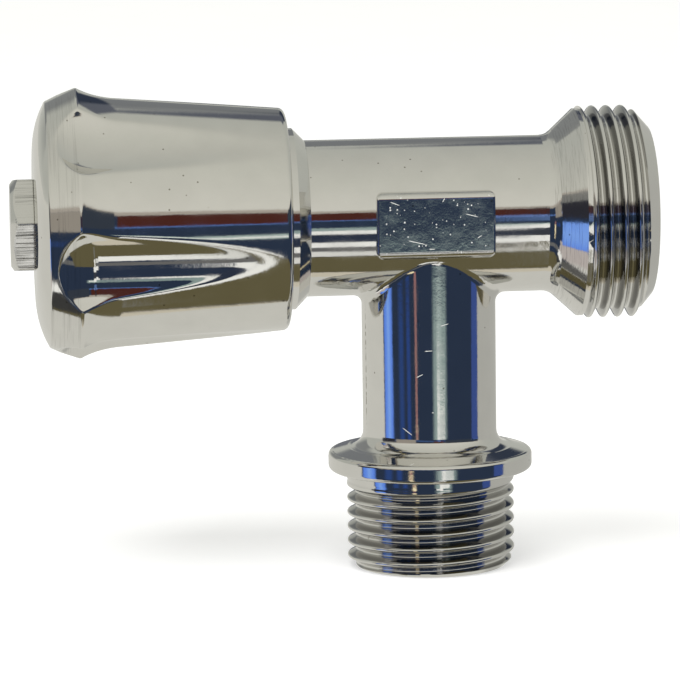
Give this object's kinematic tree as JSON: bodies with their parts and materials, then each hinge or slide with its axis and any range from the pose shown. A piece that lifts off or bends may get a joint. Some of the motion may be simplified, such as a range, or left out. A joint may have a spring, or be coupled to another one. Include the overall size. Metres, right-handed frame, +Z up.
{
  "type": "washing machine stop valve",
  "caption": "Angle stop valve with a fluted screw-down handle, a male inlet nipple below a round flange and a male hose nipple at the side.",
  "frame": {"origin": "on the inlet axis, at the underside of the flange that seats on the wall", "axes": "+Z up the stem away from the inlet, +X out of the hose nipple, the raised panel on -Y"},
  "size_m": [0.0794, 0.034, 0.061],
  "materials": {
    "chrome_body": "polished chrome plate on brass",
    "chrome_handle": "polished chrome plate on cast zinc brass",
    "chrome_screw": "chrome plate over machined facets",
    "brass": "plain turned brass",
    "fibre": "pressed red fibre",
    "packing": "greased braided packing",
    "rubber": "matt moulded rubber",
    "spring_steel": "drawn wire"
  },
  "bodies": {
    "valve": {"valve_body": "chrome_body", "bonnet": "brass", "bonnet_washer": "fibre", "gland_packing": "packing", "gland_ring": "brass", "gland_nut": "brass"},
    "jumper_set": {"jumper": "brass", "jumper_washer": "rubber", "washer_nut": "brass", "jumper_ring": "spring_steel"},
    "handle_set": {"spindle": "brass", "handle": "chrome_handle", "handle_screw": "chrome_screw"}
  },
  "joints": [
    {"name": "jumper_lift", "type": "slide", "parent": "valve", "child": "jumper_set", "axis": [-1, 0, 0], "range_m": [0, 0.0045]},
    {"name": "handle_turn", "type": "hinge", "parent": "jumper_set", "child": "handle_set", "pos_m": [0, 0, 0.0318], "axis": [-1, 0, 0], "range_deg": [0, 810]}
  ],
  "couplings": [
    {"joint": "jumper_lift", "follows": "handle_turn", "m_per_rad": 0.00031831}
  ]
}
